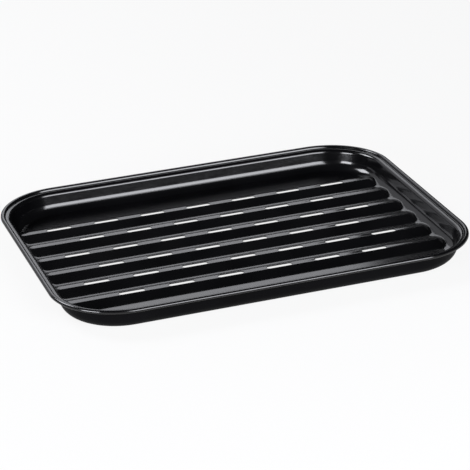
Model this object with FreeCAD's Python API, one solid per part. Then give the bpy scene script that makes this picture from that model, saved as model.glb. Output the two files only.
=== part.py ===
import FreeCAD, Part
import math
import os

# Grill tray: one pressed sheet of enamelled steel with a rolled rim, a deep
# well and six slotted ribs across its floor.
# Millimetres. X runs along the tray, Y across it (+Y is the far side), Z is up.
# The origin is the middle of the tray on the plane it stands on.

# Sheet
SHEET = 0.8

# Outline of the rim, seen from above
RIM_LENGTH = 340.0
RIM_WIDTH = 260.0
RIM_CORNER_RADIUS = 55.0
TRAY_HEIGHT = 20.1

# Rolled bead round the rim
BEAD_WIDTH = 3.3
BEAD_TOP_RADIUS = 1.2
BEAD_RISE = 2.0
BEAD_SLOPE_RUN = 0.8
LIP_DROP = 2.1
LIP_TUCK = 1.3
LIP_RADIUS = 0.7

# Shallow channel between the bead and the well
CHANNEL_FOOT_RADIUS = 0.8
CHANNEL_RISE = 0.2
SHOULDER_INSET = 7.8
SHOULDER_RADIUS = 3.0

# Wall of the well and the cove at its foot
WALL_DRAFT_RUN = 2.4
COVE_RADIUS = 10.0
FLOOR_START = 22.0

# Ribs
RIB_ROWS = 6
RIB_PITCH = 28.4
RIB_RISE = 4.0
RIB_CREST_LENGTH = 307.0
RIB_CREST_HALF_WIDTH = 2.7
RIB_FOOT_HALF_WIDTH = 12.6
RIB_CREST_RADIUS = 1.2
RIB_FOOT_RADIUS = 2.4
RIB_FOOT_MARGIN = 1.6

# The ribs and slots are pressed a little off the middle of the tray
RIB_SHIFT_X = -1.5
RIB_SHIFT_Y = 4.2
SLOT_SHIFT_X = -3.0

# Slots through the crests, staggered from rib to rib
SLOT_PITCH = 40.1
SLOT_LENGTH = 21.0
SLOT_WIDTH = 4.4
SLOTS_IN_LONG_ROW = 7
SLOTS_IN_SHORT_ROW = 6

# Overlap of cutting forms beyond the metal they cut
CUT_MARGIN = 1.0

UP = FreeCAD.Vector(0, 0, 1)


def unit(start, end):
    """Direction from one (u, z) point to the next."""
    length = math.hypot(end[0] - start[0], end[1] - start[1])
    return ((end[0] - start[0]) / length, (end[1] - start[1]) / length)


def offset_path(points, radii, shift):
    """Path parallel to a rounded path, moved to its left by shift.

    Corners stay where the moved segments meet, and each corner radius grows
    or shrinks by the shift, so the two paths stay parallel round the bends.
    """
    ways = [unit(a, b) for a, b in zip(points, points[1:])]
    moved = [(points[0][0] - ways[0][1] * shift, points[0][1] + ways[0][0] * shift)]
    rounds = [0.0]
    for i in range(1, len(points) - 1):
        before, after = ways[i - 1], ways[i]
        turn = math.atan2(before[0] * after[1] - before[1] * after[0],
                          before[0] * after[0] + before[1] * after[1])
        reach = shift * math.tan(turn / 2)
        x = points[i][0] - before[1] * shift - before[0] * reach
        z = points[i][1] + before[0] * shift - before[1] * reach
        moved.append((x, z))
        rounds.append(radii[i] - math.copysign(shift, turn))
    last = ways[-1]
    moved.append((points[-1][0] - last[1] * shift, points[-1][1] + last[0] * shift))
    rounds.append(0.0)
    return moved, rounds


def rounded_edges(points, radii):
    """Lines and arcs of a path whose inner corners are rounded."""
    edges = []
    start = FreeCAD.Vector(points[0][0], 0, points[0][1])
    for i in range(1, len(points) - 1):
        corner = FreeCAD.Vector(points[i][0], 0, points[i][1])
        back = FreeCAD.Vector(points[i - 1][0], 0, points[i - 1][1]) - corner
        ahead = FreeCAD.Vector(points[i + 1][0], 0, points[i + 1][1]) - corner
        back.normalize()
        ahead.normalize()
        half_angle = back.getAngle(ahead) / 2
        tangent = radii[i] / math.tan(half_angle)
        arc_start = corner + back * tangent
        arc_end = corner + ahead * tangent
        bisector = back + ahead
        bisector.normalize()
        arc_middle = corner + bisector * (radii[i] / math.sin(half_angle) - radii[i])
        edges.append(Part.LineSegment(start, arc_start).toShape())
        edges.append(Part.Arc(arc_start, arc_middle, arc_end).toShape())
        start = arc_end
    end = FreeCAD.Vector(points[-1][0], 0, points[-1][1])
    edges.append(Part.LineSegment(start, end).toShape())
    return edges


def face_from(edges):
    """Plane face bounded by edges that meet end to end."""
    return Part.Face(Part.Wire(Part.__sortEdges__(edges)))


def sheet_face(points, radii):
    """Section of the sheet: a band half a thickness to each side of the path."""
    outer = rounded_edges(*offset_path(points, radii, SHEET / 2))
    inner = rounded_edges(*offset_path(points, radii, -SHEET / 2))
    first = Part.LineSegment(outer[0].firstVertex().Point, inner[0].firstVertex().Point)
    last = Part.LineSegment(outer[-1].lastVertex().Point, inner[-1].lastVertex().Point)
    return face_from(outer + [last.toShape()] + inner + [first.toShape()])


def rim_section():
    """Middle line of the sheet from the tucked lip over the bead to the floor.

    The first coordinate is the distance inwards from the outer edge of the rim.
    """
    half = SHEET / 2
    bead_top = TRAY_HEIGHT - half
    lip_end = bead_top - LIP_DROP
    channel = bead_top - BEAD_RISE
    bead_end = BEAD_WIDTH - half
    points = [
        (half + LIP_TUCK, lip_end),
        (half, lip_end),
        (half, bead_top),
        (bead_end, bead_top),
        (bead_end + BEAD_SLOPE_RUN, channel),
        (SHOULDER_INSET, channel + CHANNEL_RISE),
        (SHOULDER_INSET + WALL_DRAFT_RUN, half),
        (FLOOR_START, half),
    ]
    radii = [
        0.0,
        LIP_RADIUS,
        BEAD_TOP_RADIUS,
        BEAD_TOP_RADIUS,
        CHANNEL_FOOT_RADIUS,
        SHOULDER_RADIUS,
        COVE_RADIUS,
        0.0,
    ]
    return points, radii


def swept_round(section):
    """Pieces that a section makes on its way round the rounded outline."""
    centre_x = RIM_LENGTH / 2 - RIM_CORNER_RADIUS
    centre_y = RIM_WIDTH / 2 - RIM_CORNER_RADIUS
    corner_section = section.translated(FreeCAD.Vector(RIM_CORNER_RADIUS, 0, 0))
    quarter = corner_section.revolve(FreeCAD.Vector(0, 0, 0), UP, 90)
    pieces = []
    corners = [
        (centre_x, centre_y),
        (-centre_x, centre_y),
        (-centre_x, -centre_y),
        (centre_x, -centre_y),
    ]
    for turn, (x, y) in enumerate(corners):
        piece = quarter.rotated(FreeCAD.Vector(0, 0, 0), UP, 90 * turn)
        pieces.append(piece.translated(FreeCAD.Vector(x, y, 0)))
    sides = [(RIM_LENGTH / 2, centre_y), (RIM_WIDTH / 2, centre_x)] * 2
    for turn, (reach, run) in enumerate(sides):
        side = section.translated(FreeCAD.Vector(reach, -run, 0))
        side = side.extrude(FreeCAD.Vector(0, 2 * run, 0))
        pieces.append(side.rotated(FreeCAD.Vector(0, 0, 0), UP, 90 * turn))
    return pieces


def rim_and_wall():
    """Rim, wall and cove as pieces of sheet."""
    points, radii = rim_section()
    return swept_round(sheet_face([(-inset, z) for inset, z in points], radii))


def rounded_plate(inset, low, height):
    """Flat block inside the rim, its corners round the rim's corner centres."""
    half_x = RIM_LENGTH / 2 - inset
    half_y = RIM_WIDTH / 2 - inset
    plate = Part.makeBox(2 * half_x, 2 * half_y, height, FreeCAD.Vector(-half_x, -half_y, low))
    upright = [e for e in plate.Edges if abs(e.Vertexes[0].Z - e.Vertexes[1].Z) > height / 2]
    return plate.makeFillet(RIM_CORNER_RADIUS - inset, upright)


def well_core():
    """Block that fills the well out to the middle of its sheet, past the cove."""
    points, radii = rim_section()
    wall_top, wall_foot, floor_end = points[-3:]
    top = SHEET + COVE_RADIUS + CUT_MARGIN
    slant = (wall_foot[0] - wall_top[0]) / (wall_top[1] - wall_foot[1])
    start = (-(wall_foot[0] - slant * (top - wall_foot[1])), top)
    foot = (-wall_foot[0], wall_foot[1])
    end = (-floor_end[0], floor_end[1])
    edges = rounded_edges([start, foot, end], [0.0, COVE_RADIUS, 0.0])
    low = FreeCAD.Vector(end[0], 0, end[1])
    high = FreeCAD.Vector(end[0], 0, top)
    edges.append(Part.LineSegment(low, high).toShape())
    edges.append(Part.LineSegment(high, FreeCAD.Vector(start[0], 0, top)).toShape())
    middle = rounded_plate(FLOOR_START, floor_end[1], top - floor_end[1])
    return middle.multiFuse(swept_round(face_from(edges))).removeSplitter()


def rib_form(shift, bottom):
    """Solid under the rib surface that lies shift above its middle line."""
    half = SHEET / 2
    points = [
        (RIB_FOOT_HALF_WIDTH + RIB_FOOT_MARGIN, half),
        (RIB_FOOT_HALF_WIDTH, half),
        (RIB_CREST_HALF_WIDTH, half + RIB_RISE),
        (0.0, half + RIB_RISE),
    ]
    radii = [0.0, RIB_FOOT_RADIUS, RIB_CREST_RADIUS, 0.0]
    edges = rounded_edges(*offset_path(points, radii, -shift))
    foot = edges[0].firstVertex().Point
    crest = edges[-1].lastVertex().Point
    foot_low = FreeCAD.Vector(foot.x, 0, bottom)
    middle_low = FreeCAD.Vector(0, 0, bottom)
    edges.append(Part.LineSegment(crest, middle_low).toShape())
    edges.append(Part.LineSegment(middle_low, foot_low).toShape())
    edges.append(Part.LineSegment(foot_low, foot).toShape())
    half_face = face_from(edges)
    run = RIB_CREST_LENGTH / 2 - RIB_CREST_HALF_WIDTH
    end = half_face.revolve(FreeCAD.Vector(0, 0, 0), UP, 180)
    end = end.rotated(FreeCAD.Vector(0, 0, 0), UP, -90)
    across = half_face.rotated(FreeCAD.Vector(0, 0, 0), UP, 90)
    side = across.translated(FreeCAD.Vector(-run, 0, 0)).extrude(FreeCAD.Vector(2 * run, 0, 0))
    other_side = side.rotated(FreeCAD.Vector(0, 0, 0), UP, 180)
    right = end.translated(FreeCAD.Vector(run, 0, 0))
    left = right.rotated(FreeCAD.Vector(0, 0, 0), UP, 180)
    return side.multiFuse([other_side, right, left]).removeSplitter()


def slot_form():
    """Upright prism with round ends, one slot long and wide."""
    radius = SLOT_WIDTH / 2
    run = SLOT_LENGTH - SLOT_WIDTH
    height = SHEET + RIB_RISE + 2 * CUT_MARGIN
    low = FreeCAD.Vector(-run / 2, -radius, -CUT_MARGIN)
    bar = Part.makeBox(run, SLOT_WIDTH, height, low)
    left = Part.makeCylinder(radius, height, FreeCAD.Vector(-run / 2, 0, -CUT_MARGIN))
    right = Part.makeCylinder(radius, height, FreeCAD.Vector(run / 2, 0, -CUT_MARGIN))
    return bar.multiFuse([left, right]).removeSplitter()


def rib_positions():
    """Y of each rib, far side first."""
    middle = (RIB_ROWS - 1) / 2
    return [RIB_SHIFT_Y + (middle - row) * RIB_PITCH for row in range(RIB_ROWS)]


def slot_cuts():
    """All slot prisms; long and short rows take turns from the far side."""
    slot = slot_form()
    cuts = []
    for row, y in enumerate(rib_positions()):
        count = SLOTS_IN_LONG_ROW if row % 2 == 0 else SLOTS_IN_SHORT_ROW
        for place in range(count):
            x = SLOT_SHIFT_X + (place - (count - 1) / 2) * SLOT_PITCH
            cuts.append(slot.translated(FreeCAD.Vector(x, y, 0)))
    return cuts


def grill_tray():
    """The whole pressed sheet."""
    upper = rib_form(SHEET / 2, 0.0)
    hollow = rib_form(-SHEET / 2, -CUT_MARGIN)
    core = well_core()
    places = [FreeCAD.Vector(RIB_SHIFT_X, y, 0) for y in rib_positions()]
    uppers = [core.common(upper.translated(place)) for place in places]
    hollows = [hollow.translated(place) for place in places]
    floor = rounded_plate(FLOOR_START, 0.0, SHEET)
    tray = floor.multiFuse(rim_and_wall() + uppers)
    tray = tray.cut(hollows)
    tray = tray.cut(slot_cuts())
    return tray.removeSplitter()


def main():
    """Build the tray and write it out."""
    os.makedirs("parts", exist_ok=True)
    tray = grill_tray()
    solids = tray.Solids
    if len(solids) != 1 or not tray.isValid():
        raise RuntimeError("the tray is not one sound solid")
    box = tray.BoundBox
    print("solids", len(solids), "faces", len(tray.Faces), "volume", round(tray.Volume, 1))
    print("size", round(box.XLength, 3), round(box.YLength, 3), round(box.ZLength, 3), "low", round(box.ZMin, 4))
    solids[0].exportStep("parts/grill_tray.step")


main()
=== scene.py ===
import math

import bmesh
import bpy
import numpy as np
from mathutils import Matrix, Vector


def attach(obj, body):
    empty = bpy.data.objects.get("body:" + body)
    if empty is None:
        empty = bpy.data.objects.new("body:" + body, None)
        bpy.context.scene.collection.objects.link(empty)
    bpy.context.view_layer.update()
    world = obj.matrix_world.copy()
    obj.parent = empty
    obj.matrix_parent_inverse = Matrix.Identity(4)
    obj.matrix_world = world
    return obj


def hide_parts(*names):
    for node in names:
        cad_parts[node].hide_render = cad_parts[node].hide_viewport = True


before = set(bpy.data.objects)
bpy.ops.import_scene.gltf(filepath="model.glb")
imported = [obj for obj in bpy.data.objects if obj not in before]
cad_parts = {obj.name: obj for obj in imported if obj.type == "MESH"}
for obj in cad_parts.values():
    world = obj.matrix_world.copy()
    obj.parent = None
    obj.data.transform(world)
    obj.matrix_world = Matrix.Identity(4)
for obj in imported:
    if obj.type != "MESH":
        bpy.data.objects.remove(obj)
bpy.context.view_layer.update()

# Sizes of the tray in millimetres, as in its solid model
SHEET = 0.8
HALF = SHEET / 2
RIM_LENGTH = 340.0
RIM_WIDTH = 260.0
RIM_CORNER_RADIUS = 55.0
FLOOR_INSET = 22.0
CORNER_CENTRE = np.array((RIM_LENGTH / 2 - RIM_CORNER_RADIUS, RIM_WIDTH / 2 - RIM_CORNER_RADIUS))
FLOOR_CORNER_RADIUS = RIM_CORNER_RADIUS - FLOOR_INSET

# Middle of the sheet from the floor over wall, shoulder, channel and bead to
# the tucked lip: distance inwards from the rim's edge, height, bend radius,
# steps round the bend on the seen side
SECTION = (
    (FLOOR_INSET, HALF, 0.0, 0),
    (10.2, HALF, 10.0, 24),
    (7.8, 17.9, 3.0, 12),
    (3.7, 17.7, 0.8, 6),
    (2.9, 19.7, 1.2, 6),
    (0.4, 19.7, 1.2, 8),
    (0.4, 17.6, 0.7, 5),
    (1.7, 17.6, 0.0, 0),
)
# Insets of further lines of points on the flat between the floor's grid and the cove
FLOOR_SUPPORTS = (21.35, 20.7, 20.05)
LIP_STEPS = 6

RIB_ROWS = 6
MIDDLE_ROW = (RIB_ROWS - 1) / 2
RIB_PITCH = 28.4
RIB_RISE = 4.0
RIB_CREST_HALF_WIDTH = 2.7
RIB_FOOT_HALF_WIDTH = 12.6
RIB_RUN = 150.8
RIB_SHIFT = (-1.5, 4.2)
# Half the height over which a parabola rounds the crest's edge and the foot.
# The foot's grows by COVE_BLEND for each millimetre up the cove, to its top
CREST_BLEND = 0.094
FOOT_BLEND = 0.6
COVE_BLEND = 0.35
COVE_BLEND_TOP = 2.0
# Distances of the floor's rows from a rib's middle, dense at the bends
RIB_FEATURES = (2.46, 2.58, 2.7, 2.82, 2.94, 3.2, 7.6, 11.1, 11.6, 12.1, 12.6, 13.1, 13.6, 14.09)
# Further rows: degrees between their ends round a corner, least gap to a rib's row
CORNER_STEP = 2.5
ROW_GAP = 0.11
COLUMNS = 30

SLOT_SHIFT_X = -3.0
SLOT_PITCH = 40.1
SLOT_HALF_RUN = 8.3
SLOT_RADIUS = 2.2
SLOT_EDGE_RADIUS = 0.2
SLOT_COUNTS = (7, 6, 7, 6, 7, 6)
SLOT_ARC_STEPS = 6
SLOT_EDGE_STEPS = 4
# Distance from a rib's middle at which the strips of its crest meet
CREST_SEAM = 2.43

UP = np.array((0.0, 0.0, 1.0))
TINY = 1e-9
METRES = 0.001
WELD = 2e-6

# Black enamel: colours, noise patches per metre, heights and shares
GROUND_DARK = (0.0010, 0.0010, 0.0012, 1)
GROUND_PALE = (0.0018, 0.0018, 0.0021, 1)
CLOUDS = 22.0
CLOUD_EDGES = (0.3, 0.7)
DUST_GREY = (0.03, 0.03, 0.032, 1)
DUST_SPECKS = 700.0
DUST_EDGES = (0.05, 0.14)
DUST_SHARE = 0.15
PEEL_PITS = 260.0
PEEL_HEIGHT = 0.0003
PEEL_SHARE = 0.12
ROUGHNESS = 0.30
CLOUD_ROUGHNESS = 0.10
OUTSIDE_ROUGHNESS = 0.12
GLAZE = 0.35
GLAZE_LOST_OUTSIDE = 0.33

# Studio: white paper in metres, and the dim room
PAPER_GREY = (0.48, 0.48, 0.48, 1)
WHITE = (1, 1, 1, 1)
WHITE_SHARE = 0.88
PAPER_RADIUS = 8.0
PAPER_SIDES = 96
PAPER_DROP = 0.0002
ROOM_COLOUR = (0.9, 0.95, 1.0, 1.0)
ROOM_STRENGTH = 0.03

# Softboxes: azimuth, elevation, distance, width, height, brightness
SOFTBOXES = {
    "back_softbox": (168.5, 29.0, 1.9, 0.90, 0.72, 3.3),
    "back_left_softbox": (200.0, 20.0, 1.9, 1.10, 0.90, 1.0),
    "front_softbox": (14.0, 19.5, 1.3, 0.80, 0.58, 11.0),
    "front_wide_softbox": (14.0, 22.5, 1.25, 0.92, 0.86, 6.0),
    "left_front_softbox": (-61.0, 12.5, 1.3, 0.56, 0.52, 24.0),
    "left_softbox": (-131.0, 43.0, 1.3, 0.54, 0.46, 20.0),
}
LAMP_TINT = (0.94, 0.95, 1.0)

# Camera, fitted to the rim outline and the rows of slots
VIEW_AZIMUTH = -18.38
VIEW_ELEVATION = 23.34
VIEW_ROLL = -2.20
VIEW_DISTANCE = 1.658
VIEW_TARGET = (0.005, 0.004, 0.0048)
LENS = 156.8
SENSOR = 36.0

# Places of the sockets used, in Blender's lists of a node's inputs or outputs
OBJECT_PLACE = 3
ATTRIBUTE_VALUE = 2
CAMERA_RAY, GLOSSY_RAY, TRANSMISSION_RAY = 0, 3, 6
MIX_FACTOR, MIX_FIRST, MIX_SECOND = 0, 6, 7
MIXED_COLOUR = 2


def section_path(coarse):
    """Middle line of the sheet with its normals.

    Straight runs joined by arcs: an arc of radius r that turns by an angle
    starts r times the tangent of half that angle before the corner, and its
    points lie r from its centre along the turning normal. A coarse path has
    half the steps.
    """
    corners = np.array([row[:2] for row in SECTION])
    ways = np.diff(corners, axis=0)
    ways = ways / np.linalg.norm(ways, axis=1)[:, None]
    normals = np.column_stack((ways[:, 1], -ways[:, 0]))
    points = [corners[:1]] + [np.array([[inset, HALF]]) for inset in FLOOR_SUPPORTS]
    facing = [normals[:1]] * len(points)
    for i in range(1, len(corners) - 1):
        before, after = ways[i - 1], ways[i]
        turn = math.atan2(before[0] * after[1] - before[1] * after[0], before @ after)
        radius, steps = SECTION[i][2:]
        side = math.copysign(radius, turn)
        start = corners[i] - before * radius * math.tan(abs(turn) / 2)
        angle = np.linspace(0.0, turn, (steps // 2 if coarse else steps) + 1)
        across, along = normals[i - 1]
        turned = np.column_stack((
            across * np.cos(angle) - along * np.sin(angle),
            across * np.sin(angle) + along * np.cos(angle),
        ))
        points.append(start - side * normals[i - 1] + side * turned)
        facing.append(turned)
    points.append(corners[-1:])
    facing.append(normals[-1:])
    return np.vstack(points), np.vstack(facing)


def rib_field(x, y):
    """Height of the nearest rib above the floor's middle, and its slope.

    Each rib falls off with the distance from its middle line segment: flat
    for the crest, then a straight slope, with a parabola over the crest's
    edge. It goes on falling below the floor, so that the floor can meet it.
    """
    rows = np.clip(np.round(MIDDLE_ROW - (y - RIB_SHIFT[1]) / RIB_PITCH), 0, RIB_ROWS - 1)
    across = y - RIB_SHIFT[1] - (MIDDLE_ROW - rows) * RIB_PITCH
    along = x - RIB_SHIFT[0] - np.clip(x - RIB_SHIFT[0], -RIB_RUN, RIB_RUN)
    away = np.hypot(along, across)
    steep = RIB_RISE / (RIB_FOOT_HALF_WIDTH - RIB_CREST_HALF_WIDTH)
    drop = steep * (away - RIB_CREST_HALF_WIDTH)
    share = np.clip((drop + CREST_BLEND) / (2 * CREST_BLEND), 0.0, 1.0)
    fall = np.where(share < 1.0, CREST_BLEND * share * share, drop)
    pull = -steep * share / np.maximum(away, TINY)
    return RIB_RISE - fall, pull * along, pull * across


def pressed(place, normal):
    """Sheet pressed up where a rib stands higher than it.

    The lift is a parabola while the rib's height is within the blend of the
    sheet's, and the whole difference above that. The normal turns from the
    sheet's to the rib's by the same share.
    """
    rise, slope_x, slope_y = rib_field(place[..., 0], place[..., 1])
    gap = HALF + rise - place[..., 2]
    blend = FOOT_BLEND + COVE_BLEND * np.clip(place[..., 2] - HALF, 0.0, COVE_BLEND_TOP)
    share = np.clip((gap + blend) / (2 * blend), 0.0, 1.0)
    lift = np.where(share < 1.0, blend * share * share, gap)
    rib_normal = np.stack((-slope_x, -slope_y, np.ones_like(slope_x)), axis=-1)
    turned = (1.0 - share)[..., None] * normal + (share * normal[..., 2])[..., None] * rib_normal
    turned = turned / np.linalg.norm(turned, axis=-1, keepdims=True)
    return place + lift[..., None] * UP, turned


def rib_lines():
    """Y of each rib's middle, far side first, one pitch apart."""
    return RIB_SHIFT[1] + (MIDDLE_ROW - np.arange(RIB_ROWS)) * RIB_PITCH


def floor_rows():
    """Y of the floor's rows.

    Each rib has a row at its middle and one at each of its bends. Between
    them come the ends of even angles round the corners, where they are clear
    of those rows and of the crests.
    """
    offsets = np.concatenate((-np.array(RIB_FEATURES)[::-1], [0.0], RIB_FEATURES))
    rows = (rib_lines()[:, None] + offsets).ravel()
    angles = np.radians(np.arange(0.0, 90.0 + CORNER_STEP / 2, CORNER_STEP))
    ends = CORNER_CENTRE[1] + FLOOR_CORNER_RADIUS * np.sin(angles)
    extra = np.concatenate((ends, -ends))
    clear = np.abs(extra[:, None] - rows).min(axis=1) > ROW_GAP
    clear &= np.abs(extra[:, None] - rib_lines()).min(axis=1) > RIB_FEATURES[0]
    return np.sort(np.concatenate((rows, extra[clear])))


def floor_grid(rows):
    """Middle of the flat floor, one row of evenly spaced points for each y.

    A row reaches the floor's straight ends, or beyond the corner's centre as
    far as its circle: the root of the radius squared less the way beyond,
    squared.
    """
    beyond = np.clip(np.abs(rows) - CORNER_CENTRE[1], 0.0, FLOOR_CORNER_RADIUS)
    row_end = CORNER_CENTRE[0] + np.sqrt(FLOOR_CORNER_RADIUS ** 2 - beyond ** 2)
    floor = np.empty((len(rows), COLUMNS + 1, 3))
    floor[..., 0] = np.linspace(-1.0, 1.0, COLUMNS + 1) * row_end[:, None]
    floor[..., 1] = rows[:, None]
    floor[..., 2] = HALF
    return floor


def slot_outline(offset):
    """Points round a slot whose outline is moved outwards by each offset.

    The upper half is two quarters of a circle, one about each end of the
    slot's straight run, from the left end to the right one. Mirrored and
    taken backwards, it gives the lower half.
    """
    quarter = np.linspace(0.0, np.pi / 2, SLOT_ARC_STEPS + 1)
    radius = SLOT_RADIUS + offset
    left = -SLOT_HALF_RUN - radius * np.cos(quarter)
    right = SLOT_HALF_RUN + radius * np.sin(quarter)
    x = np.append(left, right, axis=-1)
    y = np.append(radius * np.sin(quarter), radius * np.cos(quarter), axis=-1)
    return np.append(x, x[..., -2:0:-1], axis=-1), np.append(y, -y[..., -2:0:-1], axis=-1)


def slot_section():
    """Outward offset and height of the points down a slot's wall.

    The wall is straight, and a quarter of a circle rounds it into each face
    of the crest.
    """
    crest = HALF + RIB_RISE
    angle = np.linspace(0.0, np.pi / 2, SLOT_EDGE_STEPS + 1)
    offset = SLOT_EDGE_RADIUS * (1.0 - np.sin(angle))
    depth = SLOT_EDGE_RADIUS * (1.0 - np.cos(angle))
    height = np.concatenate((crest + HALF - depth, crest - HALF + depth[::-1]))
    return np.concatenate((offset, offset[::-1])), height


def line(x, y, z):
    """Points of a line from their coordinates, each an array or one number."""
    return np.column_stack(np.broadcast_arrays(x, y, z))


def grid_faces(rows, columns, closed):
    """Corner numbers of the quads of a grid, the last column joined to the first if closed."""
    cells = np.arange(columns if closed else columns - 1)
    first = np.arange(rows - 1)[:, None] * columns + cells
    after = np.arange(rows - 1)[:, None] * columns + (cells + 1) % columns
    return np.stack((first, after, after + columns, first + columns), axis=-1).reshape(-1, 4)


def zipped(x_first, x_second):
    """Triangles between two lines of points that both run along x.

    The points are taken in order of x; each one makes a triangle with the
    last point reached on both lines.
    """
    order = np.concatenate((x_first[1:], x_second[1:]))
    on_second = np.concatenate((np.zeros(len(x_first) - 1, int), np.ones(len(x_second) - 1, int)))
    on_second = on_second[np.argsort(order, kind="stable")]
    first = np.cumsum(1 - on_second)
    second = np.cumsum(on_second)
    back = np.where(on_second == 1, second - 1, first - 1)
    third = np.where(on_second == 1, back + len(x_first), back)
    return np.column_stack((first, second + len(x_first), third))


class Patches:
    """Collects the patches of one skin: points, faces and how far outside each point is."""

    def __init__(self):
        self.points = []
        self.faces = []
        self.outside = []
        self.count = 0

    def add(self, points, faces, outside):
        """Adds a patch, its faces numbered on from the points already there."""
        points = np.reshape(points, (-1, 3))
        self.points.append(points)
        self.faces.extend((faces + self.count).tolist())
        self.outside.append(np.broadcast_to(outside, len(points)))
        self.count += len(points)


def add_floor(patches, floor, crest_rows):
    """Both faces of the ribbed floor, without the crests.

    They lie half a thickness off the sheet's middle along its normal.
    """
    middle, normal = pressed(floor, np.broadcast_to(UP, floor.shape))
    rows, columns = floor.shape[:2]
    faces = grid_faces(rows, columns, False)
    on_crest = np.isin(faces[:, 0] // columns, np.concatenate((crest_rows, crest_rows - 1)))
    for side, outside in ((HALF, 0.0), (-HALF, 1.0)):
        patches.add(middle + side * normal, faces[~on_crest], outside)


def add_rim(patches, floor):
    """Cove, wall and rim, carried round the floor's edge.

    At each point of the edge the section stands across the outline, whose
    corners are circles: its inset is taken off the corner's radius. The seen
    side comes first, then a half circle round the lip's end, then the
    underside backwards.
    """
    edge = np.concatenate((floor[:, -1], floor[-1, -2::-1], floor[-2::-1, 0], floor[0, 1:-1]))[:, :2]
    centre = np.clip(edge, -CORNER_CENTRE, CORNER_CENTRE)
    outward = (edge - centre) / FLOOR_CORNER_RADIUS
    sides = []
    for side, coarse in ((HALF, False), (-HALF, True)):
        path, facing = section_path(coarse)
        place = np.empty((len(path), len(edge), 3))
        place[..., :2] = centre + outward * (RIM_CORNER_RADIUS - path[:, :1])[:, None]
        place[..., 2] = path[:, 1:]
        turned = np.empty_like(place)
        turned[..., :2] = -outward * facing[:, :1][:, None]
        turned[..., 2] = facing[:, 1:]
        shaped, turned = pressed(place, turned)
        sides.append(shaped + side * turned)
    inset, height = SECTION[-1][:2]
    lip_level = np.full(len(edge), height)
    lip_middle = np.column_stack((centre + outward * (RIM_CORNER_RADIUS - inset), lip_level))
    inward = np.column_stack((-outward, np.zeros(len(edge))))
    angle = np.linspace(0.0, np.pi, LIP_STEPS + 1)[1:-1, None, None]
    lip = lip_middle + HALF * (np.sin(angle) * inward - np.cos(angle) * UP)
    ring = np.concatenate((sides[0], lip, sides[1][::-1]))
    hidden = np.repeat((np.arange(len(ring)) >= len(sides[0])).astype(float), len(edge))
    patches.add(ring, grid_faces(len(ring), len(edge), True), hidden)


def add_crests(patches, floor, crest_rows):
    """Crests of the ribs: the slots' walls, and the flat strips beside them.

    On each half of a crest, one strip goes from the floor's next row to a
    straight seam, and one from there to the edges of the slots and the
    rib's middle line between them.
    """
    crest = HALF + RIB_RISE
    offset, height = slot_section()
    slot_x, slot_y = slot_outline(offset[:, None])
    levels, loop = slot_x.shape
    upper = np.arange(loop // 2 + 1)
    lower = np.concatenate(([0], np.arange(loop - 1, loop // 2 - 1, -1)))
    wall_faces = grid_faces(levels, loop, True)
    fade = np.repeat(np.linspace(0.0, 1.0, levels), loop)
    wall_z = np.broadcast_to(height[:, None], slot_x.shape)
    for at, y, count in zip(crest_rows, rib_lines(), SLOT_COUNTS):
        middles = SLOT_SHIFT_X + (np.arange(count) - (count - 1) / 2) * SLOT_PITCH
        for x in middles:
            patches.add(np.stack((x + slot_x, y + slot_y, wall_z), axis=-1), wall_faces, fade)
        for turn, chain in ((1, upper), (-1, lower)):
            edge_x, edge_y = floor[at + turn, :, 0], floor[at + turn, :, 1]
            brink_x = (middles[:, None] + slot_x[0][chain]).ravel()
            seam_x = np.concatenate((floor[at, :1, 0], brink_x, floor[at, -1:, 0]))
            brink_y = y + np.concatenate(([0.0], np.tile(slot_y[0][chain], count), [0.0]))
            seam_y = np.full(len(seam_x), y + turn * CREST_SEAM)
            seam_y[[0, -1]] = y
            for side, outside in ((HALF, 0.0), (-HALF, 1.0)):
                outer = line(edge_x, edge_y, crest + side)
                seam = line(seam_x, seam_y, crest + side)
                brink = line(seam_x, brink_y, crest + side)
                patches.add(np.vstack((outer, seam)), zipped(edge_x, seam_x), outside)
                patches.add(np.vstack((seam, brink)), grid_faces(2, len(seam_x), False), outside)


def tray_skin():
    """Closed skin of the pressed sheet, in patches that share their edges."""
    patches = Patches()
    rows = floor_rows()
    floor = floor_grid(rows)
    crest_rows = np.searchsorted(rows, rib_lines() - TINY)
    add_floor(patches, floor, crest_rows)
    add_rim(patches, floor)
    add_crests(patches, floor, crest_rows)
    return patches


def tray_piece(finish):
    """The tray as one closed, smoothly shaded skin, its patches welded together."""
    patches = tray_skin()
    mesh = bpy.data.meshes.new("tray_skin")
    mesh.from_pydata((np.vstack(patches.points) * METRES).tolist(), [], patches.faces)
    outside = mesh.attributes.new("outside", "FLOAT", "POINT")
    outside.data.foreach_set("value", np.concatenate(patches.outside).astype(np.float32))
    shell = bmesh.new()
    shell.from_mesh(mesh)
    bmesh.ops.remove_doubles(shell, verts=shell.verts, dist=WELD)
    spare = [point for point in shell.verts if not point.link_faces]
    bmesh.ops.delete(shell, geom=spare, context="VERTS")
    bmesh.ops.recalc_face_normals(shell, faces=shell.faces)
    shell.to_mesh(mesh)
    shell.free()
    mesh.shade_smooth()
    mesh.materials.append(finish)
    piece = bpy.data.objects.new("tray_skin", mesh)
    bpy.context.collection.objects.link(piece)
    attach(piece, "root")
    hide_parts("grill_tray")


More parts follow.
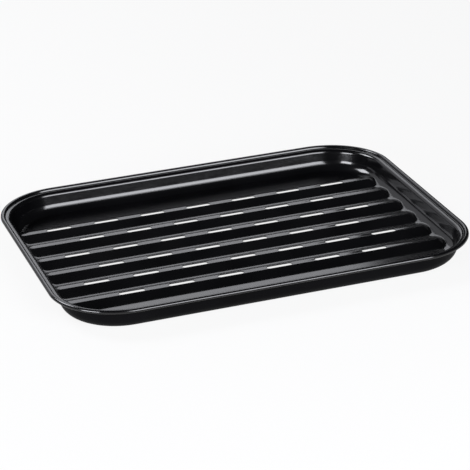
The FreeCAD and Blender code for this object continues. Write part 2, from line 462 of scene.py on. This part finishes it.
class Value:
    """A socket in a node tree; the signs of arithmetic add Math nodes to it."""

    def __init__(self, shop, socket):
        self.shop = shop
        self.socket = socket

    def math(self, operation, *others):
        """Result of a Math node that takes this value first, then the others."""
        inputs = dict(enumerate([self, *others]))
        return self.shop.add("ShaderNodeMath", dict(operation=operation), inputs)[0]

    def __add__(self, other):
        return self.math("ADD", other)

    __radd__ = __add__

    def __mul__(self, other):
        return self.math("MULTIPLY", other)

    __rmul__ = __mul__

    def __sub__(self, other):
        return self.math("SUBTRACT", other)

    def __rsub__(self, other):
        return (self * -1.0) + other

    def smooth(self, low, high):
        """Goes from 0 at low to 1 at high along an even S-curve."""
        settings = dict(interpolation_type="SMOOTHSTEP")
        return self.shop.add("ShaderNodeMapRange", settings, {0: self, 1: low, 2: high})[0]


class Workshop:
    """Node tree of one finish."""

    def __init__(self, name):
        self.material = bpy.data.materials.new(name)
        self.material.use_nodes = True
        self.tree = self.material.node_tree
        self.tree.nodes.clear()

    def add(self, kind, settings=None, sockets=None):
        """Adds one node: its settings first, then the values or links of its sockets."""
        node = self.tree.nodes.new(kind)
        for name, setting in (settings or {}).items():
            setattr(node, name, setting)
        for name, value in (sockets or {}).items():
            if isinstance(value, Value):
                self.tree.links.new(value.socket, node.inputs[name])
            else:
                node.inputs[name].default_value = value
        return [Value(self, socket) for socket in node.outputs]

    def mix(self, factor, first, second):
        """Colour that goes from first to second as factor goes from 0 to 1."""
        sockets = {MIX_FACTOR: factor, MIX_FIRST: first, MIX_SECOND: second}
        return self.add("ShaderNodeMix", dict(data_type="RGBA"), sockets)[MIXED_COLOUR]

    def finish(self, shader):
        """The material, with this shader as its surface."""
        self.add("ShaderNodeOutputMaterial", None, {"Surface": shader})
        return self.material


def enamel_finish():
    """Black enamel: a clear glaze over a nearly black ground.

    Soft clouds vary the ground's colour and roughness, small round specks
    are dust, and a fine noise gives the orange peel. The outside of the
    skin, from the lip's end onwards, is a little rougher and has hardly any
    glaze, by the share stored on its points.
    """
    shop = Workshop("black_enamel")
    place = shop.add("ShaderNodeTexCoord")[OBJECT_PLACE]
    outside = shop.add("ShaderNodeAttribute", dict(attribute_name="outside"))[ATTRIBUTE_VALUE]
    peel = shop.add("ShaderNodeTexNoise", None, {"Vector": place, "Scale": PEEL_PITS, "Detail": 2.0})[0]
    cloud = shop.add("ShaderNodeTexNoise", None, {"Vector": place, "Scale": CLOUDS, "Detail": 3.0})[0]
    speck = shop.add("ShaderNodeTexVoronoi", None, {"Vector": place, "Scale": DUST_SPECKS})[0]
    dust = 1.0 - speck.smooth(*DUST_EDGES)
    ground = shop.mix(cloud.smooth(*CLOUD_EDGES), GROUND_DARK, GROUND_PALE)
    relief = {"Strength": PEEL_SHARE, "Distance": PEEL_HEIGHT, "Height": peel}
    shader = shop.add("ShaderNodeBsdfPrincipled", None, {
        "Base Color": shop.mix(dust * DUST_SHARE, ground, DUST_GREY),
        "Roughness": cloud * CLOUD_ROUGHNESS + ROUGHNESS + outside * OUTSIDE_ROUGHNESS,
        "IOR": 1.5,
        "Specular IOR Level": 0.02,
        "Normal": shop.add("ShaderNodeBump", None, relief)[0],
        "Coat Weight": GLAZE - outside * GLAZE_LOST_OUTSIDE,
        "Coat Roughness": 0.13,
        "Coat IOR": 1.8,
    })[0]
    return shop.finish(shader)


def floor_finish():
    """White paper: seen directly or in the enamel, most of it is plain white.

    The rest is pale paper that takes the light and the tray's shadow.
    """
    shop = Workshop("white_paper")
    ray = shop.add("ShaderNodeLightPath")
    seen = ray[CAMERA_RAY].math("MAXIMUM", ray[GLOSSY_RAY]).math("MAXIMUM", ray[TRANSMISSION_RAY])
    paper = shop.add("ShaderNodeBsdfDiffuse", None, {"Color": PAPER_GREY})[0]
    white = shop.add("ShaderNodeEmission", None, {"Color": WHITE, "Strength": 1.0})[0]
    mixed = shop.add("ShaderNodeMixShader", None, {0: seen * WHITE_SHARE, 1: paper, 2: white})[0]
    return shop.finish(mixed)


def studio_floor():
    """Round sheet of paper just under the tray, its edge at even angles round a circle."""
    turn = np.linspace(0.0, 2.0 * np.pi, PAPER_SIDES, endpoint=False)
    edge = line(PAPER_RADIUS * np.cos(turn), PAPER_RADIUS * np.sin(turn), -PAPER_DROP)
    mesh = bpy.data.meshes.new("studio_floor")
    mesh.from_pydata(edge.tolist(), [], [list(range(PAPER_SIDES))])
    mesh.materials.append(floor_finish())
    floor = bpy.data.objects.new("studio_floor", mesh)
    bpy.context.collection.objects.link(floor)


def sight(azimuth, elevation):
    """Unit vector from the tray towards a place at this azimuth and elevation."""
    azimuth = math.radians(azimuth)
    elevation = math.radians(elevation)
    level = math.cos(elevation)
    return Vector((math.sin(azimuth) * level, -math.cos(azimuth) * level, math.sin(elevation)))


def studio_lights():
    """Softboxes that face the tray, and a dim room.

    A softbox's power is its brightness times pi times its area.
    """
    for name, (azimuth, elevation, distance, width, height, brightness) in SOFTBOXES.items():
        lamp = bpy.data.lights.new(name, "AREA")
        lamp.shape = "RECTANGLE"
        lamp.size = width
        lamp.size_y = height
        lamp.energy = brightness * math.pi * width * height
        lamp.color = LAMP_TINT
        towards = sight(azimuth, elevation)
        holder = bpy.data.objects.new(name, lamp)
        holder.location = towards * distance
        holder.rotation_euler = towards.to_track_quat("Z", "Y").to_euler()
        holder.visible_camera = False
        bpy.context.collection.objects.link(holder)
    world = bpy.data.worlds.new("room")
    world.use_nodes = True
    background = world.node_tree.nodes["Background"]
    background.inputs["Color"].default_value = ROOM_COLOUR
    background.inputs["Strength"].default_value = ROOM_STRENGTH
    bpy.context.scene.world = world


def camera():
    """Long lens at the photograph's viewpoint.

    It looks from its place straight at the target, and its level and upright
    directions are turned by the photograph's small roll.
    """
    away = sight(VIEW_AZIMUTH, VIEW_ELEVATION)
    level = (-away).cross(Vector((0, 0, 1))).normalized()
    upright = level.cross(-away)
    roll = math.radians(VIEW_ROLL)
    right = level * math.cos(roll) + upright * math.sin(roll)
    up = upright * math.cos(roll) - level * math.sin(roll)
    place = Matrix((right, up, away)).transposed().to_4x4()
    place.translation = Vector(VIEW_TARGET) + away * VIEW_DISTANCE
    eye = bpy.data.cameras.new("camera")
    eye.lens = LENS
    eye.sensor_width = SENSOR
    holder = bpy.data.objects.new("camera", eye)
    holder.matrix_world = place
    bpy.context.collection.objects.link(holder)
    bpy.context.scene.camera = holder


bpy.context.scene.view_settings.view_transform = "Standard"
tray_piece(enamel_finish())
studio_floor()
studio_lights()
camera()
